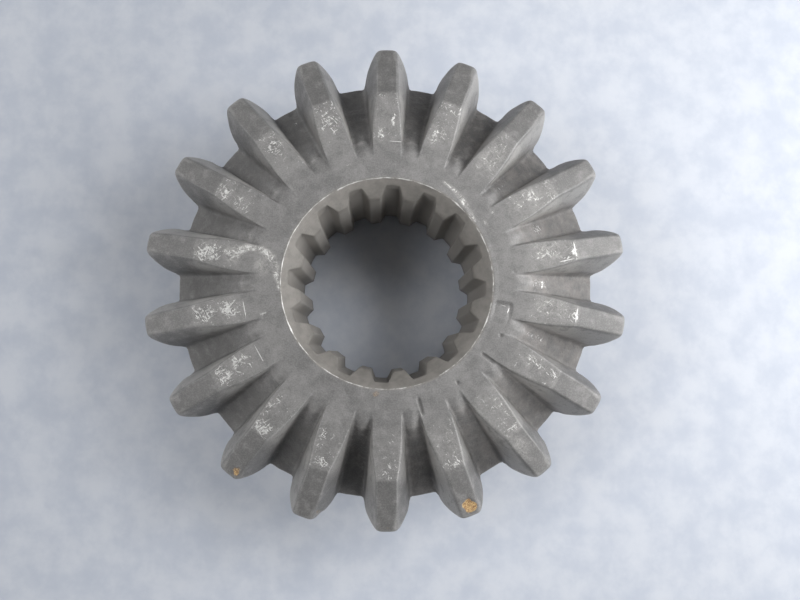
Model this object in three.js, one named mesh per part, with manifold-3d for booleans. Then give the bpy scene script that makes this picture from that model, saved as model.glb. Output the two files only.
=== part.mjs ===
// A forged bevel gear with a splined bore, of the kind that sits on the end of a drive shaft.
// Millimetres, +Z up. The origin is the middle of the hub's end face. +Z runs along the gear's
// axis to its toothed front, and one tooth points along +Y.

import * as THREE from 'three';
import { mergeVertices } from 'three/addons/utils/BufferGeometryUtils.js';
import Module from 'manifold-3d';

const wasm = await Module();
wasm.setup();

// Driving dimensions of the teeth
const TEETH = 18;
const MATE_TEETH = 10;
const MODULE = 6;
const ADDENDUM = 5;
const DEDENDUM = 6.9;
const TIP_THICKNESS = 4.6;
const ROOT_THICKNESS = 10.9;
const FLANK_CURVE = 1.8;
const ROOT_FILLET = 1.6;

// Driving dimensions of the blank
const TOTAL_HEIGHT = 38;
const APEX_ABOVE_FRONT = 21;
const FRONT_FLAT_RADIUS = 43.7;
const GAP_START_RADIUS = 30.3;
const THRUST_FACE_Z = 18;
const THRUST_FACE_RADIUS = 46.8;
const RIM_LOWEST_Z = 19.4;
const HUB_RADIUS = 32;
const HUB_CHAMFER = 1.5;
const HUB_CORNER = 1.2;

// Driving dimensions of the splined bore
const SPLINE_SLOTS = 16;
const SPLINE_MINOR_RADIUS = 20.1;
const SPLINE_MAJOR_RADIUS = 22.5;
const SLOT_MOUTH_WIDTH = 5.24;
const SLOT_FLOOR_WIDTH = 3.2;
const SLOT_TURN = THREE.MathUtils.degToRad(3.4);
const BORE_CHAMFER_RADIUS = 23.85;

// Fineness of the facets
const FACETS_PER_TOOTH = 6;
const FLANK_STEPS = 3;
const FILLET_STEPS = 3;
const ARC_STEPS = 2;

// Pitch cone, worked out from the teeth of the pair on shafts at a right angle
const PITCH_RADIUS = (MODULE * TEETH) / 2;
const PITCH_ANGLE = Math.atan(TEETH / MATE_TEETH);
const CONE_DISTANCE = PITCH_RADIUS / Math.sin(PITCH_ANGLE);
const APEX_Z = TOTAL_HEIGHT + APEX_ABOVE_FRONT;
const TOOTH_PITCH_ANGLE = (2 * Math.PI) / TEETH;
const FIRST_TOOTH_ANGLE = Math.PI / 2;

// How far past the metal the cutters run
const OVERRUN = 5;

function toSolid(geometry) {
  const bare = geometry.clone();
  bare.deleteAttribute('normal');
  bare.deleteAttribute('uv');
  const merged = mergeVertices(bare, 1e-4);
  return new wasm.Manifold(new wasm.Mesh({
    numProp: 3,
    vertProperties: new Float32Array(merged.attributes.position.array),
    triVerts: new Uint32Array(merged.index.array),
  }));
}

function toGeometry(solid) {
  const mesh = solid.getMesh();
  const geometry = new THREE.BufferGeometry();
  geometry.setAttribute('position', new THREE.BufferAttribute(mesh.vertProperties, 3));
  geometry.setIndex(new THREE.BufferAttribute(mesh.triVerts, 1));
  geometry.computeVertexNormals();
  return geometry;
}

// A solid of revolution about Z from points of radius and height
function turned(points, segments) {
  const outline = points.map(([radius, z]) => new THREE.Vector2(radius, z));
  return toSolid(new THREE.LatheGeometry(outline, segments).rotateX(Math.PI / 2));
}

// The point at a distance from the apex along the pitch cone, and at a height square to it
function coneSection(distance, height) {
  const sin = Math.sin(PITCH_ANGLE);
  const cos = Math.cos(PITCH_ANGLE);
  return {
    radius: distance * sin + height * cos,
    z: APEX_Z - distance * cos + height * sin,
  };
}

// The blank that the teeth are cut in: hub, thrust face, back cone, face cone and flat front
function blank() {
  const tip = coneSection(CONE_DISTANCE, ADDENDUM);
  const heelRoot = coneSection(CONE_DISTANCE, -DEDENDUM);
  const rimRun = (heelRoot.z - RIM_LOWEST_Z) / Math.tan(PITCH_ANGLE);
  return turned([
    [0, 0],
    [HUB_RADIUS - HUB_CHAMFER, 0],
    [HUB_RADIUS, HUB_CHAMFER],
    [HUB_RADIUS, THRUST_FACE_Z - HUB_CORNER],
    [HUB_RADIUS + HUB_CORNER, THRUST_FACE_Z],
    [THRUST_FACE_RADIUS, THRUST_FACE_Z],
    [heelRoot.radius - rimRun, RIM_LOWEST_Z],
    [tip.radius, tip.z],
    [FRONT_FLAT_RADIUS, TOTAL_HEIGHT],
    [0, TOTAL_HEIGHT],
  ], TEETH * FACETS_PER_TOOTH);
}

// Thickness of a tooth at the heel, at a height over the pitch cone: the flanks bulge outwards
function toothThickness(height) {
  const depth = (ADDENDUM - height) / (ADDENDUM + DEDENDUM - ROOT_FILLET);
  const taper = Math.max(1 - depth, 0) ** FLANK_CURVE;
  return ROOT_THICKNESS - (ROOT_THICKNESS - TIP_THICKNESS) * taper;
}

// Half of a gap's section at the heel, from above the tip down to where the fillet meets the floor.
// Each point has a height over the pitch cone and an angle from the gap's middle.
function halfGap(floorHeight) {
  const top = ADDENDUM + OVERRUN;
  const points = [[top, flankAngle(top)]];
  const filletTop = floorHeight + ROOT_FILLET;
  for (let i = 0; i <= FLANK_STEPS; i++) {
    const height = THREE.MathUtils.lerp(ADDENDUM, filletTop, i / FLANK_STEPS);
    points.push([height, flankAngle(height)]);
  }
  const radius = PITCH_RADIUS + floorHeight * Math.cos(PITCH_ANGLE);
  const start = flankAngle(filletTop);
  for (let i = 1; i <= FILLET_STEPS; i++) {
    const turn = (i / FILLET_STEPS) * (Math.PI / 2);
    const sideways = (ROOT_FILLET * (1 - Math.cos(turn))) / radius;
    points.push([filletTop - ROOT_FILLET * Math.sin(turn), start - sideways]);
  }
  return points;
}

// Angle from a gap's middle to its flank
function flankAngle(height) {
  const radius = PITCH_RADIUS + height * Math.cos(PITCH_ANGLE);
  return TOOTH_PITCH_ANGLE / 2 - toothThickness(height) / (2 * radius);
}

// Where a gap's floor starts on the flat front: its distance from the apex along the pitch cone,
// and its height square to it
function gapStart() {
  const sin = Math.sin(PITCH_ANGLE);
  const cos = Math.cos(PITCH_ANGLE);
  return {
    distance: GAP_START_RADIUS * sin + APEX_ABOVE_FRONT * cos,
    height: GAP_START_RADIUS * cos - APEX_ABOVE_FRONT * sin,
  };
}

// Height of the gap's floor over the pitch cone, on the straight line between its two ends
function floorHeightAt(distance) {
  const start = gapStart();
  const along = (distance - start.distance) / (CONE_DISTANCE - start.distance);
  return THREE.MathUtils.lerp(start.height, -DEDENDUM, along);
}

// The whole outline of a gap at a distance from the apex, as points in space
function gapSection(distance, middleAngle) {
  const scale = distance / CONE_DISTANCE;
  const half = halfGap(floorHeightAt(distance) / scale);
  const mirrored = half.map(([height, angle]) => [height, -angle]).reverse();
  return [...half, ...mirrored].map(([height, angle]) => {
    const { radius, z } = coneSection(distance, height * scale);
    return [radius * Math.cos(middleAngle + angle), radius * Math.sin(middleAngle + angle), z];
  });
}

// A closed solid between two outlines with the same number of points
function lofted(first, last) {
  const count = first.length;
  const indices = [];
  for (let i = 0; i < count; i++) {
    const next = (i + 1) % count;
    indices.push(i, next, count + i);
    indices.push(next, count + next, count + i);
  }
  for (let i = 1; i < count - 1; i++) {
    indices.push(0, i + 1, i);
    indices.push(count, count + i, count + i + 1);
  }
  const geometry = new THREE.BufferGeometry();
  const positions = [...first, ...last].flat();
  geometry.setAttribute('position', new THREE.Float32BufferAttribute(positions, 3));
  geometry.setIndex(indices);
  return toSolid(geometry);
}

function gapCutter(index) {
  const middleAngle = FIRST_TOOTH_ANGLE + (index + 0.5) * TOOTH_PITCH_ANGLE;
  return lofted(
    gapSection(CONE_DISTANCE + OVERRUN, middleAngle),
    gapSection(gapStart().distance - OVERRUN, middleAngle),
  );
}

function polar(radius, angle) {
  return new THREE.Vector2(radius * Math.cos(angle), radius * Math.sin(angle));
}

// Points on an arc, both ends included
function arcPoints(radius, from, to) {
  const points = [];
  for (let i = 0; i <= ARC_STEPS; i++) {
    points.push(polar(radius, THREE.MathUtils.lerp(from, to, i / ARC_STEPS)));
  }
  return points;
}

// The splined bore as a prism: slots with slanted sides, joined by arcs at the minor radius
function splineCutter() {
  const slotPitch = (2 * Math.PI) / SPLINE_SLOTS;
  const mouth = SLOT_MOUTH_WIDTH / 2 / SPLINE_MINOR_RADIUS;
  const floor = SLOT_FLOOR_WIDTH / 2 / SPLINE_MAJOR_RADIUS;
  const outline = [];
  for (let i = 0; i < SPLINE_SLOTS; i++) {
    const middle = FIRST_TOOTH_ANGLE - SLOT_TURN + i * slotPitch;
    outline.push(...arcPoints(SPLINE_MAJOR_RADIUS, middle - floor, middle + floor));
    outline.push(...arcPoints(SPLINE_MINOR_RADIUS, middle + mouth, middle + slotPitch - mouth));
  }
  const prism = new THREE.ExtrudeGeometry(new THREE.Shape(outline), {
    depth: TOTAL_HEIGHT + 2 * OVERRUN,
    bevelEnabled: false,
  });
  return toSolid(prism.translate(0, 0, -OVERRUN));
}

// A cone that chamfers the bore at 45 degrees at one end face
function chamferCutter(faceZ, outward) {
  const tall = SPLINE_MINOR_RADIUS;
  const rim = [BORE_CHAMFER_RADIUS + OVERRUN, faceZ + outward * OVERRUN];
  const bottom = [BORE_CHAMFER_RADIUS - tall, faceZ - outward * tall];
  const points = [[0, bottom[1]], bottom, rim, [0, rim[1]]];
  return turned(outward > 0 ? points : points.reverse(), TEETH * FACETS_PER_TOOTH);
}

function sideGear() {
  const cutters = Array.from({ length: TEETH }, (_, index) => gapCutter(index));
  cutters.push(splineCutter(), chamferCutter(TOTAL_HEIGHT, 1), chamferCutter(0, -1));
  const solid = cutters.reduce((rest, cutter) => rest.subtract(cutter), blank());
  const forgedSteel = new THREE.MeshStandardMaterial({
    color: 0x4d4e4d,
    roughness: 0.62,
    metalness: 0.55,
  });
  const mesh = new THREE.Mesh(toGeometry(solid), forgedSteel);
  mesh.name = 'side_gear';
  return mesh;
}

const gear = new THREE.Group();
gear.add(sideGear());

export default gear;
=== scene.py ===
"""Looks of a forged bevel gear with a splined bore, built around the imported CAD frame.

The gear is one closed mesh made of three grids that run round the axis: the toothed side, the
hub and the splined bore. Its shape is worked out in millimetres and turned to metres at the end.
Each vertex carries masks, such as how worn its edge is, and the steel's material reads them.
"""

import math

import bpy
import numpy as np
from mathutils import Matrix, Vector


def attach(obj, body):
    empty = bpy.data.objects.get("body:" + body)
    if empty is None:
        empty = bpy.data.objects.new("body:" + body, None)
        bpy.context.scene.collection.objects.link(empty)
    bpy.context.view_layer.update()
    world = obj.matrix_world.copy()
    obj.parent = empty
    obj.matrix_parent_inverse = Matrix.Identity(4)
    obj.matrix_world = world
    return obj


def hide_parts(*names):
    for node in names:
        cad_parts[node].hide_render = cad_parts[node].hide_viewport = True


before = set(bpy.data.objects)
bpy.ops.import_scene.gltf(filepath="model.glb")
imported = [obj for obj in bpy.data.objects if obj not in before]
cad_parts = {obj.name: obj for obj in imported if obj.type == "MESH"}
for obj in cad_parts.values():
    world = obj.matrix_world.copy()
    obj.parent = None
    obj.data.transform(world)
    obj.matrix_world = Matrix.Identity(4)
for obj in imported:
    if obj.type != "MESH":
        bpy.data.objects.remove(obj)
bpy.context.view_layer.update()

MM = 0.001
SEED = 18

# Teeth
TEETH = 18
MATE_TEETH = 10
MODULE = 6.0
ADDENDUM = 5.0
DEDENDUM = 6.9
TIP_THICKNESS = 4.6
ROOT_THICKNESS = 10.9
FLANK_CURVE = 1.8
ROOT_FILLET = 1.6

# Blank
TOTAL_HEIGHT = 38.0
APEX_ABOVE_FRONT = 21.0
FRONT_FLAT_RADIUS = 43.7
GAP_START_RADIUS = 30.3
THRUST_FACE_Z = 18.0
THRUST_FACE_RADIUS = 46.8
RIM_LOWEST_Z = 19.4
HUB_RADIUS = 32.0
HUB_CHAMFER = 1.5
HUB_CORNER = 1.2

# Splined bore
SPLINE_SLOTS = 16
SPLINE_MINOR_RADIUS = 20.1
SPLINE_MAJOR_RADIUS = 22.5
SLOT_MOUTH_WIDTH = 5.24
SLOT_FLOOR_WIDTH = 3.2
SLOT_TURN = math.radians(3.4)
BORE_CHAMFER_RADIUS = 23.85

# Pitch cone
PITCH_RADIUS = MODULE * TEETH / 2
PITCH_ANGLE = math.atan(TEETH / MATE_TEETH)
COS_PITCH = math.cos(PITCH_ANGLE)
SIN_PITCH = math.sin(PITCH_ANGLE)
PITCH_DROP = PITCH_RADIUS / math.tan(PITCH_ANGLE)
APEX_Z = TOTAL_HEIGHT + APEX_ABOVE_FRONT
TIP_RADIUS = PITCH_RADIUS + ADDENDUM * COS_PITCH
TIP_Z = APEX_Z - PITCH_DROP + ADDENDUM * SIN_PITCH
HEEL_ROOT_RADIUS = PITCH_RADIUS - DEDENDUM * COS_PITCH
HEEL_ROOT_Z = APEX_Z - PITCH_DROP - DEDENDUM * SIN_PITCH
FIRST_TOOTH_ANGLE = math.pi / 2
TOOTH_PITCH = 2 * math.pi / TEETH

# Softness of the forged edges: how far two faces blend into each other, measured along Z
EDGE_BLEND = 0.4
TIP_EDGE_BLEND = 1.2
TIP_BLEND_START = 49.0
TOE_EDGE_BLEND = 1.1
TOE_BLEND_RUN = 4.5
CREASE_BLEND = 0.1
FILLET_BLEND = 3.0
# The hump in the middle of each gap where it starts, and how far it runs outwards
TOE_HUMP = 0.7
TOE_HUMP_RUN = 6.5
# Rounds of smoothing of the whole forging, and more rounds from one radius to another at the tips
FORGED_SMOOTHING = 1
TIP_SMOOTHING = 2
TIP_SMOOTHING_RADII = (51.5, 54.0)

# Where the grids meet on flat faces: each ends a little short of the next
FRONT_SEAM_RADIUS = 24.3
THRUST_SEAM_RADIUS = 45.0
HUB_START_RADIUS = 44.0
END_SEAM_RADIUS = 24.6

# Where the wide rows of the front ring end and the closer rows of the teeth begin
RING_END_RADIUS = GAP_START_RADIUS - 0.5

# Counts of the grids' rows and columns, and the spacing of the hub's rows
LAND_COLUMNS = 5
FLANK_COLUMNS = 13
FLOOR_COLUMNS = 8
RING_ROWS = 18
TOP_ROWS = 27
CONE_ROWS = 21
HEEL_ROWS = 12
RIM_ROWS = 4
THRUST_ROWS = 3
HUB_COLUMNS = 192
HUB_ROW_SPACING = 4.0
HUB_CORNER_POINTS = 5
BORE_WALL_ROWS = 8
END_CHAMFER_ROWS = 5
MOUTH_CHAMFER_ROWS = 6
SLOT_RUN_COLUMNS = 6
# How strongly columns crowd towards the top edges of the teeth, on their lands and on their flanks
LAND_CROWDING = 1.6
FLANK_CROWDING = 1.35
# How close extra points stand to a turned corner, to keep it sharp
CORNER_SUPPORT = 0.12

# Waves of the forged skin: width, height on the tops, height added in the gaps, shift of the noise
FORGED_WAVES = (
    (9.0, 0.04, 0.07, 0),
    (3.5, 0.02, 0.04, 40),
    (1.3, 0.012, 0.04, 80),
)
SKIN_DROP = 0.09
RIM_UNEVENNESS = 0.05

# Dents of the forging and of its handling, in millimetres
NICKS = 70
NICK_RADII = (25.5, 53.0)
NICK_REACH = (0.35, 0.85)
NICK_DEPTH = (0.06, 0.16)
CHIP_RAGGEDNESS = 0.45
CHIP_NOISE_WIDTH = 1.2
CHIPS = (
    # angle in degrees, radius, reach, depth, share of rust
    (290.2, 53.6, 1.6, 0.45, 1.0),
    (231.7, 54.6, 1.2, 0.45, 0.55),
    (253.6, 54.2, 0.8, 0.35, 0.35),
    (270.2, 55.0, 0.7, 0.20, 0.35),
    (1.6, 49.9, 0.9, 0.35, 0.10),
    (118.5, 49.0, 0.8, 0.25, 0.10),
    (264.0, 24.9, 1.1, 0.0, 0.38),
)
# Plain pressed marks on the front ring: angle in degrees, radius, half length, turned by
PRESSED_MARKS = (
    (-25.0, 28.2, 0.0, 0.0),
    (-37.0, 28.4, 1.5, 0.0),
    (-55.0, 27.4, 0.0, 0.0),
    (-75.0, 28.6, 1.5, 0.0),
)
MARK_FLOOR_HALF_WIDTH = 0.144
MARK_EDGE_HALF_WIDTH = 0.54
MARK_DEPTH = 0.34
# A groove with the outline of a rounded box pressed into the front ring, deepest at its first end
RECESS_START = -9.4
RECESS_LENGTH = 5.4
RECESS_MIDDLE_RADIUS = 26.6
RECESS_HALF_WIDTH = 2.3
RECESS_CORNER = 0.9
RECESS_DEPTH = 0.9
RECESS_WALL = 0.4
RECESS_INNER_RUN = 0.35
RECESS_FADE_SHARE = 0.62
# Scratches on the front: angle in degrees, radius, turned by, half length, half width
SCRATCHES = (
    (190.6, 32.4, 90, 2.5, 0.12),
    (209.0, 32.6, 90, 2.5, 0.11),
    (10.0, 43.3, 90, 2.0, 0.20),
    (7.1, 41.0, 6, 2.2, 0.14),
    (-9.9, 43.3, 90, 2.1, 0.22),
    (188.0, 35.0, 40, 1.6, 0.10),
    (191.5, 36.2, -25, 1.9, 0.10),
    (168.5, 33.5, 20, 1.8, 0.10),
    (86.5, 32.4, 90, 1.9, 0.10),
    (-11.1, 26.3, -6, 1.6, 0.17),
    (-12.9, 28.0, 80, 1.0, 0.15),
)
# Wear of every tooth's top, besides the patches; the extra burnish on the lit side is painted light
SCRAPED_EVERYWHERE = 0.50
SCRAPED_AT_CREASE = 0.14
BURNISHED_EVERYWHERE = 0.02
BURNISH_PAINTED_ON_LIT_SIDE = 0.2
# Scraped and burnished patches on the tops of the teeth and the ring:
# angle in degrees, radius, half length along the radius, half width, share scraped, share burnished
PATCHES = (
    (130.0, 40.4, 3.9, 2.7, 0.86, 0.2),
    (110.0, 38.6, 5.0, 2.8, 0.80, 0.2),
    (90.5, 42.6, 1.0, 1.8, 0.6, 0.3),
    (87.8, 37.4, 2.6, 0.5, 1.0, 0.4),
    (92.3, 34.0, 1.9, 1.2, 0.98, 0.4),
    (70.6, 42.6, 0.9, 2.0, 0.85, 0.3),
    (72.0, 34.9, 2.8, 0.9, 0.98, 0.5),
    (69.3, 36.2, 2.4, 0.9, 0.72, 0.4),
    (50.0, 37.4, 5.5, 2.6, 0.64, 0.5),
    (31.0, 42.8, 0.7, 2.4, 0.66, 0.4),
    (30.8, 37.0, 4.6, 2.8, 0.70, 0.45),
    (10.0, 42.8, 0.8, 2.4, 0.9, 0.6),
    (11.0, 37.4, 4.6, 2.6, 0.68, 0.55),
    (-9.9, 42.8, 0.8, 2.4, 0.98, 0.6),
    (-8.6, 37.4, 4.4, 2.6, 0.68, 0.55),
    (-29.2, 42.8, 1.1, 2.2, 0.92, 0.5),
    (-28.4, 37.4, 4.0, 2.2, 0.76, 0.5),
    (-49.8, 43.0, 0.8, 2.3, 1.0, 0.5),
    (-47.6, 37.4, 2.6, 0.9, 0.9, 0.5),
    (-51.0, 47.0, 3.2, 2.0, 0.0, 0.45),
    (-69.0, 42.9, 0.7, 2.3, 0.86, 0.3),
    (-68.2, 37.6, 3.4, 1.5, 0.55, 0.4),
    (270.0, 42.9, 0.7, 1.8, 0.92, 0.2),
    (272.3, 39.4, 0.9, 0.6, 1.0, 0.2),
    (267.0, 37.4, 2.4, 0.6, 0.82, 0.2),
    (249.6, 42.2, 1.6, 2.6, 1.0, 0.2),
    (247.4, 38.0, 4.6, 1.1, 0.85, 0.2),
    (229.6, 41.8, 2.1, 2.8, 1.05, 0.4),
    (227.0, 37.0, 4.4, 1.3, 0.84, 0.3),
    (209.8, 41.6, 2.6, 2.9, 1.05, 0.15),
    (207.9, 37.4, 2.8, 1.3, 1.0, 0.4),
    (211.4, 37.8, 4.0, 1.6, 0.80, 0.15),
    (189.9, 41.4, 3.0, 2.9, 0.98, 0.2),
    (190.0, 35.6, 3.6, 3.3, 0.84, 0.25),
    (170.2, 40.4, 4.0, 2.9, 0.92, 0.25),
    (169.4, 35.2, 2.2, 2.4, 0.85, 0.7),
    (172.4, 28.2, 2.0, 2.4, 0.45, 0.55),
    (151.0, 41.8, 2.0, 2.6, 0.9, 0.3),
    (151.8, 37.6, 3.6, 2.0, 0.76, 0.2),
    (34.1, 28.8, 0.5, 1.0, 0.98, 0.5),
    (31.4, 26.1, 0.5, 0.8, 0.9, 0.5),
    (194.2, 28.6, 0.9, 0.5, 0.95, 0.3),
    (107.6, 28.3, 0.5, 0.7, 0.98, 0.3),
    (301.5, 31.2, 0.6, 1.0, 0.9, 0.3),
)
# Burnished bands on the front ring: angle, radius and half width along each
BAND_SCRAPED = 0.9
LEFT_BAND = (
    (184.0, 24.1, 0.3),
    (177.0, 24.9, 0.7),
    (171.0, 25.5, 1.0),
    (167.0, 27.2, 1.1),
    (165.3, 29.8, 0.8),
    (166.0, 32.6, 0.9),
    (169.0, 34.4, 1.2),
)
RIGHT_BAND = (
    (61.0, 26.4, 0.25),
    (53.0, 26.0, 0.5),
    (47.0, 25.4, 0.75),
    (41.0, 24.8, 0.5),
    (35.0, 24.3, 0.3),
)
# Scraped patches on the floors of the gaps: angle, radius, half length, half width, share scraped
FLOOR_PATCHES = (
    (0.0, 35.4, 3.4, 1.5, 0.85),
    (20.4, 37.6, 2.6, 1.5, 0.8),
    (-19.6, 36.4, 3.2, 1.4, 0.75),
    (-60.0, 31.8, 0.8, 1.3, 0.85),
    (40.6, 34.6, 1.4, 0.9, 0.7),
    (119.0, 46.2, 1.0, 0.9, 0.8),
)
# The gaps painted darkest, with painted shade and some stain: middle and half width of the stretch, in
# degrees
SHADED_AND_STAINED_GAPS = ((62.0, 24.0), (267.0, 15.0))
# Share of scale beyond the crease, of painted shade in every gap, and of shade and stain added in the
# darkest gaps
SCALE_BEYOND_CREASE = 0.65
SHADE_IN_GAPS = 0.3
SHADE_AND_STAIN_IN_DARKEST_GAPS = 1.2
# The middle of the side where a brown film has settled and light is painted as lighter colour, in
# degrees
FILM_AND_LIGHT_SIDE = -5.0
# Radii between which each kind of wear begins or ends
TOP_WEAR_START = (31.5, 33.5)
TOP_WEAR_END = (43.9, 44.3)
SCALE_START = (43.4, 44.4)
POLISH_START = (31.5, 34.0)
POLISH_END = (42.0, 47.0)
# Polish of the clockwise flanks at the toe, how much of it is gone at the heel, and of the others
POLISH_CLOCKWISE = 1.3
POLISH_CLOCKWISE_LOST = 0.65
POLISH_OTHER = 0.6

# Colours of the steel as linear red, green and blue
COAT_DARK = (0.217, 0.213, 0.211)
# Dark scale beyond the crease; the same colour is painted as shade in the gaps
COAT_LIGHT = (0.267, 0.262, 0.258)
SCALE_AND_GAP_SHADE = (0.062, 0.062, 0.061)
POLISHED_FLANK = (0.50, 0.49, 0.475)
BLOTCH_LIGHT = (0.345, 0.337, 0.333)
BLOTCH_DARK = (0.14, 0.14, 0.138)
GRAIN_LIGHT = (0.38, 0.375, 0.365)
GRAIN_DARK = (0.11, 0.11, 0.108)
FLECK = (0.46, 0.455, 0.445)
# Painted shade deep in the gaps, darkest on the floors
GAP_SHADE_COLOUR = (0.09, 0.088, 0.084)
# Painted shade inside the pressed grooves
PRESSED = (0.10, 0.098, 0.095)
# A brown film, lighter than the coat, on the lit side: a real film and painted light
BROWN_FILM_AND_PAINTED_LIGHT = (0.30, 0.27, 0.25)
MACHINED_DARK = (0.20, 0.19, 0.177)
MACHINED_LIGHT = (0.27, 0.256, 0.238)
BROACHED = (0.42, 0.40, 0.375)
WORN_EDGE = (0.5, 0.495, 0.48)
BURNISHED = (0.60, 0.585, 0.56)
BARE_METAL = (0.80, 0.795, 0.78)
RUST_DARK = (0.28, 0.16, 0.08)
RUST_LIGHT = (0.60, 0.42, 0.20)

# Floor, with its size in metres, and sky
FLOOR_DARK = (0.50, 0.54, 0.62)
FLOOR_LIGHT = (0.60, 0.63, 0.69)
FLOOR_ROUGHNESS = 0.7
FLOOR_SIZE = 3.0
FLOOR_DROP = 0.0002
SKY_COLOUR = (0.9, 0.95, 1.0)
SKY_STRENGTH = 0.02

# Camera: place in metres, turn in degrees, lens and sensor in millimetres
CAMERA_PLACE = (-0.00128, -0.01632, 0.19438)
CAMERA_TURN = (4.51, -1.51, -0.09)
CAMERA_LENS = 31.5
CAMERA_SENSOR = 36.0
CAMERA_NEAREST = 0.01

# Lights round the gear: name, azimuth and elevation in degrees, distance and size in metres, watts
LIGHT_TARGET = (0, 0, 0.03)
LIGHTS = (
    ("low_right", 0, 6, 0.35, (0.2, 0.08), 0.44),
    ("middle_right", 12, 27, 0.35, (0.2, 0.12), 0.34),
    ("high_right", 16, 46, 0.35, (0.2, 0.12), 0.66),
    ("middle_right_before", -46, 24, 0.9, (0.5, 0.3), 2.9),
    ("high_behind", 80, 58, 0.35, (0.2, 0.12), 0.22),
    ("high_left", 180, 46, 0.9, (0.5, 0.3), 2.9),
    ("low_left", 180, 4, 0.9, (0.5, 0.2), 1.3),
    ("low_left_behind", 135, 4, 0.9, (0.5, 0.2), 1.6),
    ("low_left_before", 225, 4, 0.9, (0.5, 0.2), 1.2),
)


# -------------------- noise and small sums

class Noise:
    """Smooth random values in space, from a lattice of seeded numbers that repeats."""

    SIDE = 32

    def __init__(self, seed):
        self.lattice = np.random.default_rng(seed).uniform(-1, 1, (self.SIDE,) * 3)

    def at(self, points, size):
        """A value from -1 to 1 for each point; size is the width of a bump in millimetres."""
        scaled = points / size
        low = np.floor(scaled).astype(int)
        part = scaled - low
        part = part * part * (3 - 2 * part)
        total = np.zeros(points.shape[:-1])
        for corner in np.ndindex(2, 2, 2):
            cell = (low + corner) % self.SIDE
            share = np.where(corner, part, 1 - part).prod(axis=-1)
            total += share * self.lattice[cell[..., 0], cell[..., 1], cell[..., 2]]
        return total


def smooth_step(low, high, value):
    part = np.clip((value - low) / (high - low), 0, 1)
    return part * part * (3 - 2 * part)


def soft_min(a, b, blend):
    """The lower of two heights, rounded where they cross."""
    share = np.clip(0.5 + 0.5 * (b - a) / blend, 0, 1)
    return b * (1 - share) + a * share - blend * share * (1 - share)


def soft_max(a, b, blend):
    return -soft_min(-a, -b, blend)


def ring_radius(points):
    return np.linalg.norm(points[..., :2], axis=-1)


def polar_point(degrees, radius):
    return radius * np.array([math.cos(math.radians(degrees)), math.sin(math.radians(degrees))])


# -------------------- toothed side

def tooth_half_angle(height):
    """Half the angle that a tooth covers, at a height over the pitch cone at the heel."""
    depth = (ADDENDUM - height) / (ADDENDUM + DEDENDUM - ROOT_FILLET)
    taper = np.maximum(1 - depth, 0) ** FLANK_CURVE
    thickness = ROOT_THICKNESS - (ROOT_THICKNESS - TIP_THICKNESS) * taper
    return thickness / (2 * (PITCH_RADIUS + height * COS_PITCH))


def flank_height(angle):
    """The height over the pitch cone at which a flank stands at an angle from its tooth's middle."""
    below, above, steps = 3.0, 4.5, 300
    heights = np.linspace(-DEDENDUM - below, ADDENDUM + above, steps)
    angles = tooth_half_angle(heights)
    return np.interp(-angle, -angles, heights)


def tooth_columns():
    """Angles from a tooth's middle to the next gap's middle, closest together at the top edge."""
    tip_angle = float(tooth_half_angle(ADDENDUM))
    foot_height = ROOT_FILLET - DEDENDUM
    foot_angle = float(tooth_half_angle(foot_height))
    land = tip_angle * (1 - (1 - np.arange(LAND_COLUMNS) / LAND_COLUMNS) ** LAND_CROWDING)
    flank_share = (np.arange(FLANK_COLUMNS) / FLANK_COLUMNS) ** FLANK_CROWDING
    flank = tooth_half_angle(ADDENDUM + (foot_height - ADDENDUM) * flank_share)
    floor = np.linspace(foot_angle, TOOTH_PITCH / 2, FLOOR_COLUMNS + 1)
    return np.concatenate([land, flank, floor])


def all_columns():
    """Angle of every column round the gear, and its angle from the nearest tooth's middle."""
    half = tooth_columns()
    sector = np.concatenate([half, (TOOTH_PITCH - half[1:-1])[::-1]])
    centres = FIRST_TOOTH_ANGLE + np.arange(TEETH) * TOOTH_PITCH
    angles = (centres[:, None] + sector[None, :]).ravel()
    offsets = np.tile(np.minimum(sector, TOOTH_PITCH - sector), TEETH)
    return angles, offsets


def blank_height(radius):
    """The front of the blank before its teeth are cut: the flat ring and the face cone."""
    slope = (TOTAL_HEIGHT - TIP_Z) / (TIP_RADIUS - FRONT_FLAT_RADIUS)
    cone = TOTAL_HEIGHT - (radius - FRONT_FLAT_RADIUS) * slope
    return soft_min(np.full_like(radius, TOTAL_HEIGHT), cone, CREASE_BLEND)


def floor_height(radius, offset):
    """The bottom of a gap: a straight line down to the heel, with a hump in its middle at the toe."""
    slope = (TOTAL_HEIGHT - HEEL_ROOT_Z) / (HEEL_ROOT_RADIUS - GAP_START_RADIUS)
    line = TOTAL_HEIGHT - (radius - GAP_START_RADIUS) * slope
    foot = float(tooth_half_angle(ROOT_FILLET - DEDENDUM))
    across = (offset - foot) / (TOOTH_PITCH / 2 - foot)
    from_toe = (radius - GAP_START_RADIUS) / TOE_HUMP_RUN
    hump = TOE_HUMP * np.exp(-from_toe ** 2) * smooth_step(0, 1, across)
    return line + hump


def front_height(radius, offset):
    """Height of the toothed front at a radius and at an angle from the nearest tooth's middle."""
    height = flank_height(offset)
    slope = (PITCH_DROP - height * SIN_PITCH) / (PITCH_RADIUS + height * COS_PITCH)
    flank = APEX_Z - radius * slope
    groove = soft_max(flank, floor_height(radius, offset), FILLET_BLEND)
    at_tip = smooth_step(TIP_BLEND_START, TIP_RADIUS, radius)
    at_toe = 1 - smooth_step(GAP_START_RADIUS, GAP_START_RADIUS + TOE_BLEND_RUN, radius)
    blend = EDGE_BLEND + TIP_EDGE_BLEND * at_tip + TOE_EDGE_BLEND * at_toe
    return soft_min(blank_height(radius), groove, blend)


def back_cone_height(radius):
    return APEX_Z - PITCH_DROP + (radius - PITCH_RADIUS) * math.tan(PITCH_ANGLE)


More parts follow.
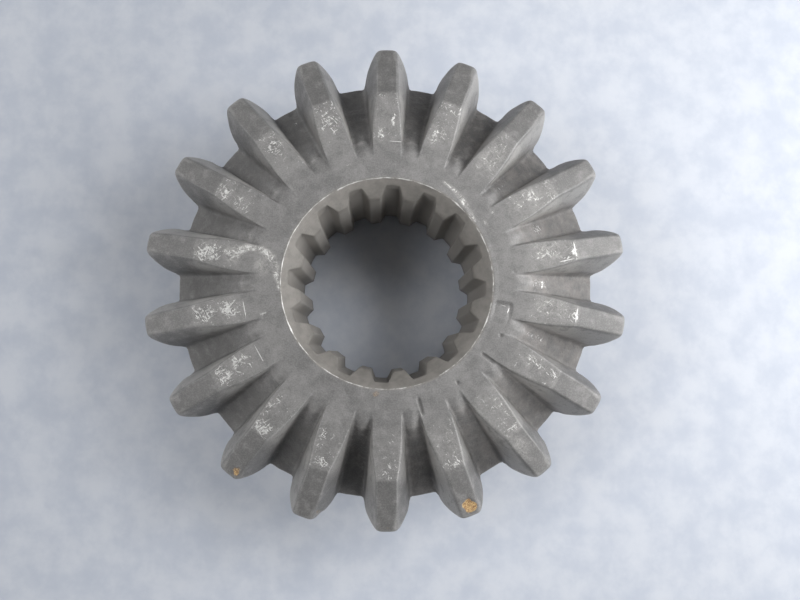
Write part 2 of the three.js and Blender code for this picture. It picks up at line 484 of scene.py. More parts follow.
def heel_radius(offset):
    """Radius at which each column of the front meets the back cone, found by halving."""
    inwards, outwards, halvings = 3.0, 1.0, 40
    low = np.full_like(offset, HEEL_ROOT_RADIUS - inwards)
    high = np.full_like(offset, TIP_RADIUS + outwards)
    for _ in range(halvings):
        middle = (low + high) / 2
        inside = front_height(middle, offset) > back_cone_height(middle)
        low = np.where(inside, middle, low)
        high = np.where(inside, high, middle)
    return low


def front_radii(heel):
    """Radius of every point from the front seam to the heel, with one row along the crease."""
    ring = np.linspace(FRONT_SEAM_RADIUS, RING_END_RADIUS, RING_ROWS, endpoint=False)
    top = np.linspace(RING_END_RADIUS, FRONT_FLAT_RADIUS, TOP_ROWS, endpoint=False)
    inner = np.concatenate([ring, top])[:, None] * np.ones_like(heel)
    share = np.linspace(0, 1, CONE_ROWS)[:, None]
    return np.concatenate([inner, FRONT_FLAT_RADIUS + (heel - FRONT_FLAT_RADIUS) * share])


def line_rows(start, end, count):
    """Radius and height of rows between two rings, without the first ring."""
    share = (np.arange(count) + 1)[:, None] / count
    return [start[i] * (1 - share) + end[i] * share for i in (0, 1)]


def joined_rows(stops):
    """Rows of radius and height through a list of rings, each with the count of rows up to it."""
    radii, heights = [stops[0][0][None, :]], [stops[0][1][None, :]]
    for start, end in zip(stops, stops[1:]):
        more_radius, more_height = line_rows(start, end, end[2])
        radii.append(more_radius)
        heights.append(more_height)
    return np.concatenate(radii), np.concatenate(heights)


def toothed_grid():
    """Rows of points from the front seam over the teeth and the back cone to the thrust seam."""
    angles, offsets = all_columns()
    ones = np.ones_like(offsets)
    heel = heel_radius(offsets)
    front_radius = front_radii(heel)
    front = front_height(front_radius, np.broadcast_to(offsets, front_radius.shape))
    rim_radius = HEEL_ROOT_RADIUS - (HEEL_ROOT_Z - RIM_LOWEST_Z) / math.tan(PITCH_ANGLE)
    back_radius, back = joined_rows([
        (heel, front[-1], 0),
        (rim_radius * ones, RIM_LOWEST_Z * ones, HEEL_ROWS),
        (THRUST_FACE_RADIUS * ones, THRUST_FACE_Z * ones, RIM_ROWS),
        (THRUST_SEAM_RADIUS * ones, THRUST_FACE_Z * ones, THRUST_ROWS),
    ])
    radius = np.concatenate([front_radius, back_radius[1:]])
    height = np.concatenate([front, back[1:]])
    return np.stack([radius * np.cos(angles), radius * np.sin(angles), height], axis=-1)


# -------------------- hub and bore

def turned_grid(outline, columns):
    """Rows of points from an outline of radius and height, turned round the axis."""
    angles = FIRST_TOOTH_ANGLE + np.arange(columns) * 2 * math.pi / columns
    outline = np.array(outline)
    radius = outline[:, 0, None]
    height = np.broadcast_to(outline[:, 1, None], (len(outline), columns))
    return np.stack([radius * np.cos(angles), radius * np.sin(angles), height], axis=-1)


def dense(points, spacing):
    """An outline with more points along its straight runs, and a close pair at each corner."""
    support = CORNER_SUPPORT
    result = [points[0]]
    for start, end in zip(points, points[1:]):
        start, end = np.array(start, float), np.array(end, float)
        length = np.linalg.norm(end - start)
        steps = max(1, round((length - 2 * support) / spacing))
        inner = np.linspace(support, length - support, steps + 1) if length > 3 * support else []
        result += [tuple(start + (end - start) * at / length) for at in inner]
        result.append(tuple(end))
    return result


def hub_grid():
    """Rows of points from the thrust face round the corner, down the hub and across its end face."""
    outline = [(HUB_START_RADIUS, THRUST_FACE_Z)]
    for turn in np.linspace(0, math.pi / 2, HUB_CORNER_POINTS):
        radius = HUB_RADIUS + HUB_CORNER * (1 - math.sin(turn))
        height = THRUST_FACE_Z - HUB_CORNER * (1 - math.cos(turn))
        outline.append((radius, height))
    outline += [(HUB_RADIUS, HUB_CHAMFER), (HUB_RADIUS - HUB_CHAMFER, 0), (END_SEAM_RADIUS, 0)]
    return turned_grid(dense(outline, HUB_ROW_SPACING), HUB_COLUMNS)


def spline_outline():
    """Angle and radius of each column of the bore, slot by slot, with softened corners."""
    pitch = 2 * math.pi / SPLINE_SLOTS
    mouth = SLOT_MOUTH_WIDTH / 2 / SPLINE_MINOR_RADIUS
    floor = SLOT_FLOOR_WIDTH / 2 / SPLINE_MAJOR_RADIUS
    corners = [
        (-floor, SPLINE_MAJOR_RADIUS),
        (floor, SPLINE_MAJOR_RADIUS),
        (mouth, SPLINE_MINOR_RADIUS),
        (pitch - mouth, SPLINE_MINOR_RADIUS),
        (pitch - floor, SPLINE_MAJOR_RADIUS),
    ]
    even = np.arange(SLOT_RUN_COLUMNS) / SLOT_RUN_COLUMNS
    crowded = (1 - np.cos(even * math.pi)) / 2
    share = (even + crowded) / 2
    turns, radii = [], []
    for (start_turn, start_radius), (end_turn, end_radius) in zip(corners, corners[1:]):
        turns.append(start_turn + (end_turn - start_turn) * share)
        radii.append(start_radius + (end_radius - start_radius) * share)
    middles = FIRST_TOOTH_ANGLE - SLOT_TURN + np.arange(SPLINE_SLOTS) * pitch
    radius = np.tile(np.concatenate(radii), SPLINE_SLOTS)
    own_share, neighbour_share = 0.6, 0.2
    radius = own_share * radius + neighbour_share * (np.roll(radius, 1) + np.roll(radius, -1))
    return (middles[:, None] + np.concatenate(turns)[None, :]).ravel(), radius


def bore_grid(noise):
    """Rows of points from the hub's end face up through the splined bore to the front."""
    angles, wall = spline_outline()
    ones = np.ones_like(wall)
    circle = np.stack([np.cos(angles), np.sin(angles), 0 * angles], axis=-1) * BORE_CHAMFER_RADIUS
    rim = BORE_CHAMFER_RADIUS + RIM_UNEVENNESS * (noise.at(circle, 1.1) + noise.at(circle, 5.0))
    drop = BORE_CHAMFER_RADIUS - wall
    before, after = 0.06, 0.04
    radius, height = joined_rows([
        (rim + before, 0 * ones, 0),
        (rim - after, after * ones, 1),
        (wall + before, drop - before, END_CHAMFER_ROWS),
        (wall, drop + before, 1),
        (wall, TOTAL_HEIGHT - drop - before, BORE_WALL_ROWS),
        (wall + before, TOTAL_HEIGHT - drop + before, 1),
        (rim - after, (TOTAL_HEIGHT - after) * ones, MOUTH_CHAMFER_ROWS),
        (rim + before, TOTAL_HEIGHT * ones, 1),
    ])
    return np.stack([radius * np.cos(angles), radius * np.sin(angles), height], axis=-1)


# -------------------- shaping the forged grid

def grid_normals(grid):
    """Outward unit normals of a grid whose rows run away from the axis on the top side."""
    along = np.gradient(grid, axis=0)
    around = np.roll(grid, -1, axis=1) - np.roll(grid, 1, axis=1)
    normal = np.cross(along, around)
    return normal / np.maximum(np.linalg.norm(normal, axis=-1, keepdims=True), 1e-9)


def smoothed(grid, weight, times):
    """The grid with each point drawn towards the middle of its neighbours."""
    result = grid.copy()
    for _ in range(times):
        around = (np.roll(result, 1, axis=1) + np.roll(result, -1, axis=1)) / 2
        along = result.copy()
        along[1:-1] = (result[:-2] + result[2:]) / 2
        result += weight[..., None] * 0.5 * ((around + along) / 2 - result)
    return result


def forged_weight(grid):
    """1 on the forged surface, fading to 0 at the seams and on the machined thrust face."""
    front = smooth_step(FRONT_SEAM_RADIUS, FRONT_SEAM_RADIUS + 1, ring_radius(grid))
    turned = smooth_step(THRUST_FACE_Z + 0.2, RIM_LOWEST_Z + 1, grid[..., 2])
    return front * turned


def top_height(grid):
    """Height of the uncut blank over each point."""
    return blank_height(np.minimum(ring_radius(grid), TIP_RADIUS))


def drop_below_top(grid):
    """How far each point lies below the uncut blank, in millimetres."""
    return top_height(grid) - grid[..., 2]


def gap_depth(grid):
    """0 on the tops of the teeth and 1 on the floors of the gaps."""
    radius = ring_radius(grid)
    floor = floor_height(radius, np.full_like(radius, TOOTH_PITCH / 2))
    shallowest = 2.0
    return np.clip(drop_below_top(grid) / np.maximum(top_height(grid) - floor, shallowest), 0, 1)


def forging_waves(grid, noise):
    """How far the surface of the forging stands off its ideal shape."""
    depth = gap_depth(grid)
    push = np.full(grid.shape[:2], -SKIN_DROP)
    for width, on_tops, gap_shade_share, shift in FORGED_WAVES:
        push += (on_tops + gap_shade_share * depth) * noise.at(grid + shift, width)
    return push


def along_and_aside(grid, centre, turn):
    """Where each point lies from a centre on the front, along and across a direction."""
    across = grid[..., :2] - centre
    along = across[..., 0] * math.cos(turn) + across[..., 1] * math.sin(turn)
    aside = across[..., 1] * math.cos(turn) - across[..., 0] * math.sin(turn)
    return along, aside


def nick_depth(grid):
    """Small dents from handling, scattered over the flat front and the tops of the teeth."""
    draws = np.random.default_rng(SEED + 1)
    depth = np.zeros(grid.shape[:2])
    for _ in range(NICKS):
        centre = polar_point(draws.uniform(0, 360), draws.uniform(*NICK_RADII))
        reach = draws.uniform(*NICK_REACH)
        stretch = draws.uniform(0.5, 1.0)
        turn = draws.uniform(0, math.pi)
        along, aside = along_and_aside(grid, centre, turn)
        inside = np.exp(-(along ** 2 + (aside / stretch) ** 2) / reach ** 2)
        depth += draws.uniform(*NICK_DEPTH) * inside
    return depth


def mark_depth(grid):
    """Short round-ended grooves and dots pressed into the front ring."""
    depth = np.zeros(grid.shape[:2])
    for degrees, radius, half_length, turned_by in PRESSED_MARKS:
        turn = math.radians(degrees + turned_by)
        along, aside = along_and_aside(grid, polar_point(degrees, radius), turn)
        past_end = np.maximum(np.abs(along) - half_length, 0)
        distance = np.hypot(past_end, aside)
        depth += MARK_DEPTH * (1 - smooth_step(MARK_FLOOR_HALF_WIDTH, MARK_EDGE_HALF_WIDTH, distance))
    return depth


def recess_depth(grid):
    """The groove round the pressed box: it has a steep outer wall and fades out along the box."""
    angle = np.arctan2(grid[..., 1], grid[..., 0])
    along = (math.radians(RECESS_START) - angle) * RECESS_MIDDLE_RADIUS - RECESS_LENGTH / 2
    aside = ring_radius(grid) - RECESS_MIDDLE_RADIUS
    past_end = np.maximum(np.abs(along) - RECESS_LENGTH / 2 + RECESS_CORNER, 0)
    past_side = np.maximum(np.abs(aside) - RECESS_HALF_WIDTH + RECESS_CORNER, 0)
    outside = np.hypot(past_end, past_side) - RECESS_CORNER
    fade = np.clip(RECESS_FADE_SHARE - along / RECESS_LENGTH, 0, 1) ** 2
    rise = np.exp(-np.maximum(-outside - RECESS_WALL, 0) / RECESS_INNER_RUN)
    return RECESS_DEPTH * fade * rise * (1 - smooth_step(-RECESS_WALL, 0, outside))


def front_share(grid):
    """1 on the front and at the tips of the teeth, falling to 0 down the back cone."""
    height = grid[..., 2]
    on_front = smooth_step(0.1, 0.6, height - back_cone_height(ring_radius(grid)))
    return np.maximum(on_front, smooth_step(TIP_Z - 2.2, TIP_Z - 0.4, height))


def chip_shares(grid, noise):
    """How deep each point lies in a ragged chip or stain, and how rusty it is."""
    depth, rust = np.zeros(grid.shape[:2]), np.zeros(grid.shape[:2])
    shift = 20
    ragged = 1 + CHIP_RAGGEDNESS * noise.at(grid + shift, CHIP_NOISE_WIDTH)
    front = front_share(grid)
    for degrees, radius, reach, chip_depth, rusty in CHIPS:
        distance = ragged * np.linalg.norm(grid[..., :2] - polar_point(degrees, radius), axis=-1)
        inside = front * (1 - smooth_step(0.5, 1.25, distance / reach))
        depth += chip_depth * inside
        rust = np.maximum(rust, rusty * inside)
    return depth, rust


# -------------------- masks for the material

def patch_inside(grid, degrees, radius, half_length, half_width):
    """1 in the middle of an oval patch that points along the radius, falling to 0 past its edge."""
    along, aside = along_and_aside(grid, polar_point(degrees, radius), math.radians(degrees))
    return np.exp(-((along / half_length) ** 2 + (aside / half_width) ** 2) ** 2)


def band_inside(grid, path):
    """1 along a path of angles, radii and half widths, falling to 0 past its edge."""
    inside = np.zeros(grid.shape[:2])
    for start, end in zip(path, path[1:]):
        first = polar_point(*start[:2])
        run = polar_point(*end[:2]) - first
        share = np.clip((grid[..., :2] - first) @ run / (run @ run), 0, 1)
        distance = np.linalg.norm(grid[..., :2] - first - share[..., None] * run, axis=-1)
        width = start[2] + (end[2] - start[2]) * share
        inside = np.maximum(inside, np.exp(-(distance / width) ** 4))
    return inside


def patch_shares(grid):
    """How scraped and how burnished each point of the toothed side is."""
    radius = ring_radius(grid)
    before_crease, wear_width = 1.0, 2.5
    crease = np.exp(-((FRONT_FLAT_RADIUS - before_crease - radius) / wear_width) ** 2)
    tops = smooth_step(*TOP_WEAR_START, radius) * (1 - smooth_step(*TOP_WEAR_END, radius))
    scraped = (SCRAPED_EVERYWHERE + SCRAPED_AT_CREASE * crease) * tops
    # The burnish added on the lit side is painted light
    burnished = (BURNISHED_EVERYWHERE + BURNISH_PAINTED_ON_LIT_SIDE * film_and_light_side_share(grid)) * tops
    for *place, scrape, burnish in PATCHES:
        inside = patch_inside(grid, *place)
        scraped = np.maximum(scraped, scrape * inside)
        burnished = np.maximum(burnished, burnish * inside)
    for path in (LEFT_BAND, RIGHT_BAND):
        inside = band_inside(grid, path)
        scraped = np.maximum(scraped, BAND_SCRAPED * inside)
        burnished = np.maximum(burnished, inside)
    proud = 1 - smooth_step(0.2, 0.6, drop_below_top(grid))
    scraped *= proud
    for *place, scrape in FLOOR_PATCHES:
        inside = patch_inside(grid, *place) * smooth_step(0.5, 0.8, gap_depth(grid))
        scraped = np.maximum(scraped, scrape * inside)
    return scraped, burnished * proud


def worked_share(grid):
    """How far each flank is polished by its mate: more on one side of the teeth and near the toe."""
    radius = ring_radius(grid)
    turn = np.arctan2(grid[..., 1], grid[..., 0]) - FIRST_TOOTH_ANGLE
    from_tooth = (turn / TOOTH_PITCH + 0.5) % 1 - 0.5
    near_heel = smooth_step(*POLISH_END, radius)
    clockwise = POLISH_CLOCKWISE - POLISH_CLOCKWISE_LOST * near_heel
    other = POLISH_OTHER * (1 - near_heel)
    side = np.where(from_tooth < 0, clockwise, other)
    flank = smooth_step(0.4, 1.2, drop_below_top(grid)) * (1 - smooth_step(0.75, 0.98, gap_depth(grid)))
    return side * flank * smooth_step(*POLISH_START, radius)


def scale_and_gap_shade_share(grid):
    """How dark each point is painted: forging scale beyond the crease, and painted shade in the gaps.
    """
    radius = ring_radius(grid)
    angle = np.degrees(np.arctan2(grid[..., 1], grid[..., 0]))
    beyond_crease = SCALE_BEYOND_CREASE * smooth_step(*SCALE_START, radius)
    gap_shade_share = np.full_like(radius, SHADE_IN_GAPS)
    for middle, half_width in SHADED_AND_STAINED_GAPS:
        away = (angle - middle + 180) % 360 - 180
        gap_shade_share += SHADE_AND_STAIN_IN_DARKEST_GAPS * np.exp(-(away / half_width) ** 2)
    return np.maximum(beyond_crease, gap_shade_share * smooth_step(0.3, 0.8, gap_depth(grid)))


def film_and_light_side_share(grid):
    """1 on the side of the gear where a brown film has settled and light is painted, falling to 0
    opposite.
    """
    angle = np.arctan2(grid[..., 1], grid[..., 0])
    return 0.5 + 0.5 * np.cos(angle - math.radians(FILM_AND_LIGHT_SIDE))


def toothed_masks(plain, soft, noise):
    """Masks of the toothed grid, from its shape before and after its edges were softened."""
    edge = ((plain - soft) * grid_normals(soft)).sum(axis=-1)
    scraped, burnished = patch_shares(soft)
    deep = gap_depth(soft)
    burr = np.zeros(soft.shape[:2])
    burr[0] = 0.35
    sharp_edge = 0.03
    return {
        "edge": np.clip(edge / sharp_edge, -1, 1),
        "deep": deep,
        # Painted shade on the deep floors of the gaps
        "painted_gap_shade": smooth_step(0.6, 0.95, deep) * smooth_step(2.5, 8.0, drop_below_top(soft)),
        "scraped": scraped,
        "burnished": burnished,
        # Painted shade inside the pressed grooves
        "pressed": np.clip(mark_depth(soft) / MARK_DEPTH, 0, 1),
        # Brown film on the lit side of the gaps: a real film and painted light
        "brown": film_and_light_side_share(soft) * smooth_step(0.1, 0.9, deep),
        "worked": worked_share(soft),
        # Scale beyond the crease, and painted shade in the gaps
        "scale": scale_and_gap_shade_share(soft),
        "rust": chip_shares(soft, noise)[1],
        "turned": 1 - smooth_step(THRUST_FACE_Z + 0.05, THRUST_FACE_Z + 0.4, soft[..., 2]),
        "broached": np.zeros(soft.shape[:2]),
        "burr": burr,
    }


def turned_masks(grid):
    """Masks of a turned grid, with nothing forged or broached on it."""
    none = np.zeros(grid.shape[:2])
    forged = ("edge", "deep", "painted_gap_shade", "scraped", "burnished", "pressed", "rust", "worked", "scale")
    masks = {name: none for name in (*forged, "broached", "burr")}
    # Brown film on the lit side: a real film and painted light
    masks["brown"] = 0.5 * film_and_light_side_share(grid)
    masks["turned"] = 1 - none
    return masks


def bore_masks(grid):
    """Masks of the bore: broached between its two chamfers, with a burr at each end."""
    radius, height = ring_radius(grid), grid[..., 2]
    from_end = np.minimum(height, TOTAL_HEIGHT - height)
    chamfer = BORE_CHAMFER_RADIUS - radius
    broached = smooth_step(chamfer + 0.02, chamfer + 0.2, from_end)
    burr = np.zeros(grid.shape[:2])
    burr[-2:] = 1.0
    burr[:2] = 0.5
    neighbours = (np.roll(radius, 1, axis=1) + np.roll(radius, -1, axis=1)) / 2
    sharp_edge = 0.08
    masks = turned_masks(grid)
    masks["broached"] = broached
    masks["turned"] = 1 - broached
    masks["burr"] = burr
    masks["edge"] = np.clip((neighbours - radius) / sharp_edge, -1, 1) * broached
    return masks


# -------------------- joining the grids

def grid_faces(rows, columns, start):
    """Quads of a grid that closes on itself, with its first vertex at start."""
    row, column = np.meshgrid(np.arange(rows - 1), np.arange(columns), indexing="ij")
    after = (column + 1) % columns
    corners = [row * columns + column, (row + 1) * columns + column,
               (row + 1) * columns + after, row * columns + after]
    return (np.stack(corners, axis=-1).reshape(-1, 4) + start).tolist()


def ring_turns(ring):
    return np.unwrap(np.arctan2(ring[:, 1], ring[:, 0]))


def seam_faces(first, first_start, second, second_start):
    """Triangles between two rings of points with different counts, both going the same way."""
    full = 2 * math.pi
    a, b = ring_turns(first), ring_turns(second)
    nearest = int(np.argmin(np.abs((b - a[0] + math.pi) % full - math.pi)))
    order = np.roll(np.arange(len(b)), -nearest)
    b = np.unwrap(b[order])
    b += round((a[0] - b[0]) / full) * full
    a, b = np.append(a, a[0] + full), np.append(b, b[0] + full)
    faces, i, j = [], 0, 0
    while i < len(first) or j < len(second):
        here = first_start + i % len(first)
        there = second_start + int(order[j % len(second)])
        if j >= len(second) or (i < len(first) and a[i + 1] <= b[j + 1]):
            i += 1
            faces.append((here, there, first_start + i % len(first)))
        else:
            j += 1
            faces.append((here, there, second_start + int(order[j % len(second)])))
    return faces


def forged_surface(noise):
    """The toothed grid with soft edges, waves, dents and marks, and its masks."""
    plain = toothed_grid()
    weight = forged_weight(plain)
    soft = smoothed(plain, weight, FORGED_SMOOTHING)
    at_tips = smooth_step(*TIP_SMOOTHING_RADII, ring_radius(plain))
    soft = smoothed(soft, weight * at_tips, TIP_SMOOTHING)
    masks = toothed_masks(plain, soft, noise)
    on_front = ring_radius(soft) > FRONT_SEAM_RADIUS
    pressed = (mark_depth(soft) + recess_depth(soft)) * on_front
    chipped = chip_shares(soft, noise)[0]
    push = forging_waves(soft, noise) - nick_depth(soft) - chipped - pressed
    grid = soft + (weight * push)[..., None] * grid_normals(soft)
    grid[..., 2] = np.minimum(grid[..., 2], TOTAL_HEIGHT)
    return grid, masks


def gear_mesh():
    """One closed mesh of the three grids and the seams between them, with its masks."""
    noise = Noise(SEED)
    teeth, teeth_masks = forged_surface(noise)
    hub, bore = hub_grid(), bore_grid(noise)
    grids = [teeth, hub, bore]
    masks = [teeth_masks, turned_masks(hub), bore_masks(bore)]
    starts = np.cumsum([0] + [grid.shape[0] * grid.shape[1] for grid in grids]).tolist()
    faces = []
    for grid, start in zip(grids, starts):
        faces += grid_faces(grid.shape[0], grid.shape[1], start)
    for upper, lower in ((0, 1), (1, 2), (2, 0)):
        last_row = starts[upper + 1] - grids[upper].shape[1]
        faces += seam_faces(grids[upper][-1], last_row, grids[lower][0], starts[lower])
    points = np.concatenate([grid.reshape(-1, 3) for grid in grids])
    mesh = bpy.data.meshes.new("side_gear_forging")
    mesh.from_pydata((points * MM).tolist(), [], faces)
    mesh.validate()
    mesh.polygons.foreach_set("use_smooth", [True] * len(mesh.polygons))
    for name in teeth_masks:
        values = np.concatenate([mask[name].ravel() for mask in masks])
        attribute = mesh.attributes.new(name, "FLOAT", "POINT")
        attribute.data.foreach_set("value", values.astype(np.float32))
    return mesh


# -------------------- materials

class Graph:
    """Short calls that add nodes to a material and join them."""

    def __init__(self, name):
        self.material = bpy.data.materials.new(name)
        self.material.use_nodes = True
        self.tree = self.material.node_tree
        self.shader = self.tree.nodes["Principled BSDF"]
        self.place = self.node("ShaderNodeTexCoord").outputs["Object"]

    def node(self, kind, **settings):
        made = self.tree.nodes.new(kind)
        for name, value in settings.items():
            setattr(made, name, value)
        return made

    def feed(self, socket, value):
        if isinstance(value, bpy.types.NodeSocket):
            self.tree.links.new(value, socket)
        else:
            socket.default_value = value

    def mask(self, name):
        return self.node("ShaderNodeAttribute", attribute_name=name).outputs["Fac"]

    def math(self, operation, a, b=0.0, clamp=False):
        made = self.node("ShaderNodeMath", operation=operation, use_clamp=clamp)
        self.feed(made.inputs[0], a)
        self.feed(made.inputs[1], b)
        return made.outputs[0]

    def total(self, *shares):
        """The sum of pairs of a value and how much it counts."""
        result = None
        for value, share in shares:
            part = self.math("MULTIPLY", value, share)
            result = part if result is None else self.math("ADD", result, part)
        return result

    def step(self, low, high, value):
        made = self.node("ShaderNodeMapRange", interpolation_type="SMOOTHSTEP")
        for name, item in (("Value", value), ("From Min", low), ("From Max", high)):
            self.feed(made.inputs[name], item)
        return made.outputs["Result"]

    def moved(self, offset, scale=(1, 1, 1)):
        made = self.node("ShaderNodeMapping")
        self.feed(made.inputs["Vector"], self.place)
        made.inputs["Location"].default_value = offset
        made.inputs["Scale"].default_value = scale
        return made.outputs["Vector"]

    def stretched(self, degrees, length):
        """Place for a texture that is drawn out along a direction on the front."""
        made = self.node("ShaderNodeMapping", vector_type="TEXTURE")
        self.feed(made.inputs["Vector"], self.place)
        made.inputs["Rotation"].default_value = (0, 0, math.radians(degrees))
        made.inputs["Scale"].default_value = (length, 1, 1)
        return made.outputs["Vector"]

    def noise(self, size, detail=3.0, rough=0.5, twist=0.0, place=None):
        """Noise whose bumps are about size millimetres wide."""
        made = self.node("ShaderNodeTexNoise")
        self.feed(made.inputs["Vector"], place or self.place)
        scale = 1 / (size * MM)
        settings = {"Scale": scale, "Detail": detail, "Roughness": rough, "Distortion": twist}
        for name, value in settings.items():
            made.inputs[name].default_value = value
        return made.outputs["Fac"]

    def cells(self, size, feature="F1", place=None):
        made = self.node("ShaderNodeTexVoronoi", feature=feature)
        self.feed(made.inputs["Vector"], place or self.place)
        made.inputs["Scale"].default_value = 1 / (size * MM)
        return made.outputs["Distance"]

    def rings(self, size):
        """Waves of a turned surface, size millimetres apart, round the axis."""
        made = self.node("ShaderNodeTexWave", wave_type="RINGS", rings_direction="Z")
        self.feed(made.inputs["Vector"], self.place)
        scale = math.pi / 10 / (size * MM)
        for name, value in (("Scale", scale), ("Distortion", 1.5), ("Detail", 2.0)):
            made.inputs[name].default_value = value
        return made.outputs["Fac"]

    def scratches(self, marks):
        """Distance to the nearest scratch on the front, with 1 at a scratch's edge."""
        nearest = None
        reach_down = 0.6
        for degrees, radius, turned_by, half_length, half_width in marks:
            centre = Vector((*polar_point(degrees, radius), TOTAL_HEIGHT))
            placed = self.node("ShaderNodeMapping", vector_type="TEXTURE")
            self.feed(placed.inputs["Vector"], self.place)
            placed.inputs["Location"].default_value = centre * MM
            placed.inputs["Rotation"].default_value = (0, 0, math.radians(degrees + turned_by))
            placed.inputs["Scale"].default_value = Vector((half_length, half_width, reach_down)) * MM
            length = self.node("ShaderNodeVectorMath", operation="LENGTH")
            self.feed(length.inputs[0], placed.outputs["Vector"])
            distance = length.outputs["Value"]
            nearest = distance if nearest is None else self.math("MINIMUM", nearest, distance)
        return nearest

    def blend(self, share, a, b):
        """Colour a under colour b, with b showing by its share."""
        made = self.node("ShaderNodeMix", data_type="RGBA")
        share_socket, a_socket, b_socket, result_socket = 0, 6, 7, 2
        self.feed(made.inputs[share_socket], share)
        self.feed(made.inputs[a_socket], a if isinstance(a, bpy.types.NodeSocket) else (*a, 1))
        self.feed(made.inputs[b_socket], b if isinstance(b, bpy.types.NodeSocket) else (*b, 1))
        return made.outputs[result_socket]

    def layered(self, colour, layers):
        """A colour under layers, each with its mask, its strength and its own colour."""
        for mask, strength, over in layers:
            colour = self.blend(self.math("MULTIPLY", mask, strength), colour, over)
        return colour

    def bump(self, height, distance):
        """Bump from a height of 0 to 1 that stands for distance in millimetres."""
        made = self.node("ShaderNodeBump")
        made.inputs["Distance"].default_value = distance * MM
        self.feed(made.inputs["Height"], height)
        return made.outputs["Normal"]


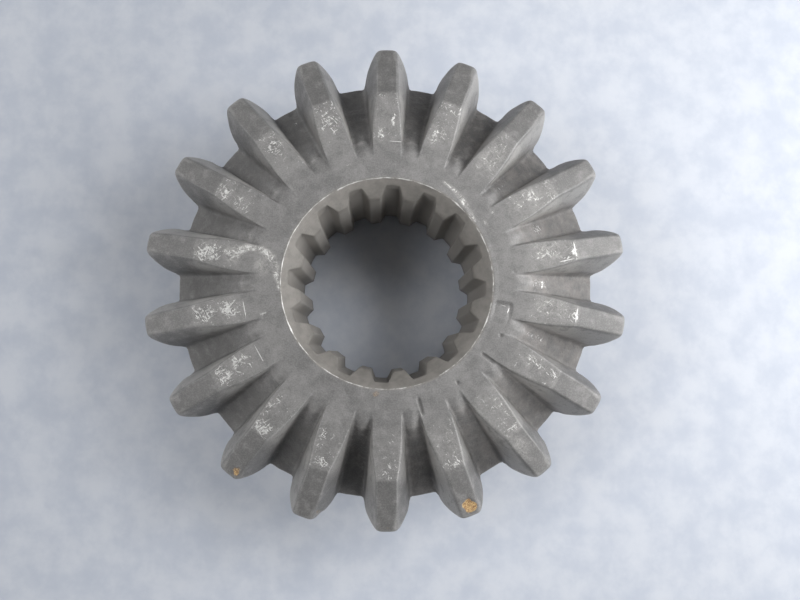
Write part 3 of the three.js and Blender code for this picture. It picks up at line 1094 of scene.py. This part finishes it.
class Steel(Graph):
    """Dark phosphated forging with bare scrapes, worn edges, pitted gaps and machined faces."""

    def __init__(self):
        super().__init__("forged_steel")
        self.cloud = self.noise(16.0, 3.0, 0.6)
        self.blotch = self.noise(2.6, 5.0, 0.65, place=self.moved((0.3, 0.1, 0.2)))
        self.grain = self.noise(0.32, 3.0, 0.6, place=self.moved((0.7, 0.4, 0.1)))
        self.patch = self.noise(2.2, 3.0, 0.6, 0.5, self.moved((0.5, 0.5, 0.9)))
        one_way = self.noise(0.5, 3.0, 0.6, 0.9, self.stretched(35, 2.6))
        other_way = self.noise(0.5, 3.0, 0.6, 0.9, self.stretched(-50, 2.6))
        self.fibre = self.math("MAXIMUM", one_way, other_way)
        self.turned, self.broached = self.mask("turned"), self.mask("broached")
        self.machined = self.math("ADD", self.turned, self.broached, clamp=True)
        self.forged = self.math("SUBTRACT", 1.0, self.machined)
        self.bright = self.bare_marks()
        self.rusty = self.step(0.42, 0.7, self.total((self.mask("rust"), 0.85), (self.fibre, 0.35)))

    def bare_marks(self):
        """Where bare metal shows: scraped patches, strokes, the burr round the bore and scratches."""
        scraped = self.mask("scraped")
        patches = self.total((scraped, 0.22), (self.fibre, 0.8), (self.patch, 0.25))
        patches = self.math("MULTIPLY", self.step(0.765, 0.815, patches), self.step(0.0, 0.95, scraped))
        strokes = self.cells(1.5, "DISTANCE_TO_EDGE", self.moved((0.1, 0.2, 0.6), (1.0, 0.6, 1.0)))
        stroke_share = self.step(0.95, 1.1, self.total((scraped, 0.45), (self.patch, 1.05)))
        strokes = self.math("MULTIPLY", self.step(0.09, 0.03, strokes), stroke_share)
        burr = self.step(0.80, 1.0, self.total((self.mask("burr"), 0.6), (self.patch, 0.6)))
        scratches = self.total((self.scratches(SCRATCHES), 1.0), (self.fibre, 0.9))
        scratches = self.math("MULTIPLY", self.step(1.45, 1.1, scratches), 0.9)
        marks = self.math("MAXIMUM", self.math("MAXIMUM", patches, strokes), burr)
        return self.math("MAXIMUM", marks, scratches)

    def coat(self):
        """Colour of the forged surface under its wear, with painted shade in the gaps and grooves and
        painted light on one side.
        """
        mottled = self.blend(self.step(0.3, 0.7, self.cloud), COAT_DARK, COAT_LIGHT)
        # Painted shade on the deep gap floors, in patches
        painted_gap_shade = self.math("MULTIPLY", self.mask("painted_gap_shade"), self.step(0.1, 0.6, self.patch))
        # A real brown film that is also painted light on the lit side
        film = self.math("MULTIPLY", self.mask("brown"), self.step(0.3, 0.65, self.blotch))
        return self.layered(mottled, (
            # Scale beyond the crease and painted shade in the gaps
            (self.mask("scale"), 0.45, SCALE_AND_GAP_SHADE),
            (self.mask("worked"), 0.72, POLISHED_FLANK),
            (self.step(0.5, 0.66, self.blotch), 0.42, BLOTCH_LIGHT),
            (self.step(0.5, 0.36, self.blotch), 0.42, BLOTCH_DARK),
            (self.step(0.5, 0.62, self.grain), 0.2, GRAIN_LIGHT),
            (self.step(0.5, 0.38, self.grain), 0.2, GRAIN_DARK),
            (self.step(0.68, 0.8, self.fibre), 0.5, FLECK),
            (painted_gap_shade, 0.5, GAP_SHADE_COLOUR),
            # Painted shade in the pressed grooves
            (self.mask("pressed"), 0.6, PRESSED),
            (film, 0.3, BROWN_FILM_AND_PAINTED_LIGHT),
        ))

    def cut_metal(self):
        """Colour of the machined faces."""
        mottled = self.blend(self.step(0.3, 0.7, self.blotch), MACHINED_DARK, MACHINED_LIGHT)
        return self.layered(mottled, ((self.broached, 0.55, BROACHED),))

    def colour(self):
        """Coat and cut metal under the wear, the bare marks and the rust."""
        worn = self.step(0.65, 1.05, self.total((self.mask("edge"), 0.7), (self.fibre, 0.7)))
        film = self.step(0.38, 0.68, self.total((self.fibre, 0.7), (self.patch, 0.3)))
        worn_colour = self.layered(self.blend(self.machined, self.coat(), self.cut_metal()), (
            (worn, 0.18, WORN_EDGE),
            (self.math("MULTIPLY", self.mask("burnished"), film), 0.85, BURNISHED),
            (self.bright, 0.9, BARE_METAL),
        ))
        rust = self.blend(self.step(0.4, 0.62, self.grain), RUST_DARK, RUST_LIGHT)
        return self.blend(self.rusty, worn_colour, rust)

    def height(self):
        """Height for the bump: grain, pits, raised flecks, and turning and broaching lines."""
        deep = self.mask("deep")
        pits = self.step(0.42, 0.15, self.cells(0.9, "F1", self.moved((0.4, 0.3, 0.8))))
        pitted = self.math("MULTIPLY", pits, self.total((deep, 0.9), (self.forged, 0.1)))
        broach_lines = self.noise(0.5, 2.0, 0.5, 0.0, self.moved((0, 0, 0), (1, 1, 0.03)))
        return self.total(
            (self.grain, 0.35),
            (self.blotch, 0.5),
            (pitted, -0.9),
            (self.math("MULTIPLY", self.bright, self.fibre), 1.6),
            (self.math("MULTIPLY", self.rings(0.35), self.turned), 0.25),
            (self.math("MULTIPLY", broach_lines, self.broached), 0.5),
        )

    def roughness(self):
        rough = self.total(
            (self.blotch, 0.22),
            (self.mask("deep"), 0.06),
            (self.machined, 0.13),
            (self.forged, 0.08),
            (self.bright, -0.2),
            (self.rusty, 0.25),
        )
        return self.math("ADD", rough, 0.42)

    def metallic(self):
        metal = self.total((self.forged, 0.18), (self.bright, 0.3), (self.rusty, -0.4))
        return self.math("ADD", metal, 0.25, clamp=True)


def forged_steel():
    steel = Steel()
    steel.feed(steel.shader.inputs["Base Color"], steel.colour())
    steel.feed(steel.shader.inputs["Roughness"], steel.roughness())
    steel.feed(steel.shader.inputs["Metallic"], steel.metallic())
    steel.feed(steel.shader.inputs["Normal"], steel.bump(steel.height(), 0.045))
    return steel.material


def pale_floor():
    floor = Graph("pale_floor")
    mottle = floor.step(0.3, 0.7, floor.noise(9.0, 4.0, 0.6))
    floor.feed(floor.shader.inputs["Base Color"], floor.blend(mottle, FLOOR_DARK, FLOOR_LIGHT))
    floor.shader.inputs["Roughness"].default_value = FLOOR_ROUGHNESS
    return floor.material


def build_gear():
    mesh = gear_mesh()
    gear = bpy.data.objects.new("side_gear_forging", mesh)
    bpy.context.scene.collection.objects.link(gear)
    mesh.materials.append(forged_steel())
    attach(gear, "root")
    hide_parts("side_gear")


# -------------------- stage

def build_floor():
    bpy.ops.mesh.primitive_plane_add(size=FLOOR_SIZE, location=(0, 0, -FLOOR_DROP))
    floor = bpy.context.object
    floor.name = "floor"
    floor.data.materials.append(pale_floor())


def area_light(name, azimuth, elevation, distance, size, watts):
    """A rectangular light that faces the gear."""
    data = bpy.data.lights.new(name, "AREA")
    data.shape = "RECTANGLE"
    data.size, data.size_y = size
    data.energy = watts
    light = bpy.data.objects.new(name, data)
    bpy.context.scene.collection.objects.link(light)
    side, rise = math.radians(azimuth), math.radians(elevation)
    away = Vector((math.cos(rise) * math.cos(side), math.cos(rise) * math.sin(side), math.sin(rise)))
    light.location = Vector(LIGHT_TARGET) + away * distance
    light.rotation_euler = (-away).to_track_quat("-Z", "Y").to_euler()


def build_lights():
    for light in LIGHTS:
        area_light(*light)
    world = bpy.data.worlds.new("studio")
    world.use_nodes = True
    sky = world.node_tree.nodes["Background"]
    sky.inputs["Color"].default_value = (*SKY_COLOUR, 1)
    sky.inputs["Strength"].default_value = SKY_STRENGTH
    bpy.context.scene.world = world


def build_camera():
    data = bpy.data.cameras.new("camera")
    data.sensor_width = CAMERA_SENSOR
    data.lens = CAMERA_LENS
    data.clip_start = CAMERA_NEAREST
    camera = bpy.data.objects.new("camera", data)
    camera.location = CAMERA_PLACE
    camera.rotation_euler = [math.radians(angle) for angle in CAMERA_TURN]
    bpy.context.scene.collection.objects.link(camera)
    bpy.context.scene.camera = camera


build_camera()
build_lights()
build_floor()
build_gear()
bpy.context.scene.view_settings.view_transform = "Standard"
